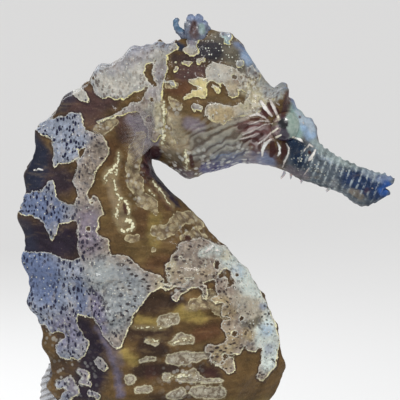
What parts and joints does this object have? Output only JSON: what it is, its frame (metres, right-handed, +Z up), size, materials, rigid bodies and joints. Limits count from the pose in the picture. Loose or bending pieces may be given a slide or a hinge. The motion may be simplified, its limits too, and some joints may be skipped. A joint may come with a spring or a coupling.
{
  "type": "seahorse model",
  "caption": "Life-size still model of a lined seahorse: ringed bony body, tube snout, knobbed coronet, coiled tail, held on a round base by a short rod.",
  "frame": {"origin": "centre of the underside of the stand's round base", "axes": "+Z up; +X the way the seahorse faces; +Y its left side"},
  "size_m": [0.054, 0.054, 0.1155],
  "materials": {
    "skin": "wet skin over bony rings, brown with pale lichen-like patches",
    "coronet": "wet pale skin over bone",
    "eye": "clear wet gloss",
    "fin": "thin translucent membrane between rays",
    "stand_wood": "dark satin lacquer",
    "stand_steel": "polished",
    "stand_pad": "matt"
  },
  "bodies": {
    "root": {"snout": "skin", "head": "skin", "neck": "skin", "trunk_upper": "skin", "trunk_lower": "skin", "tail_1": "skin", "tail_2": "skin", "tail_3": "skin", "tail_4": "skin", "tail_5": "skin", "coronet": "coronet", "eye_right": "eye", "eye_left": "eye", "dorsal_fin": "fin", "anal_fin": "fin", "pectoral_fin_right": "fin", "pectoral_fin_left": "fin", "stand_base": "stand_wood", "stand_rod": "stand_steel", "stand_cradle": "stand_pad"}
  },
  "joints": []
}
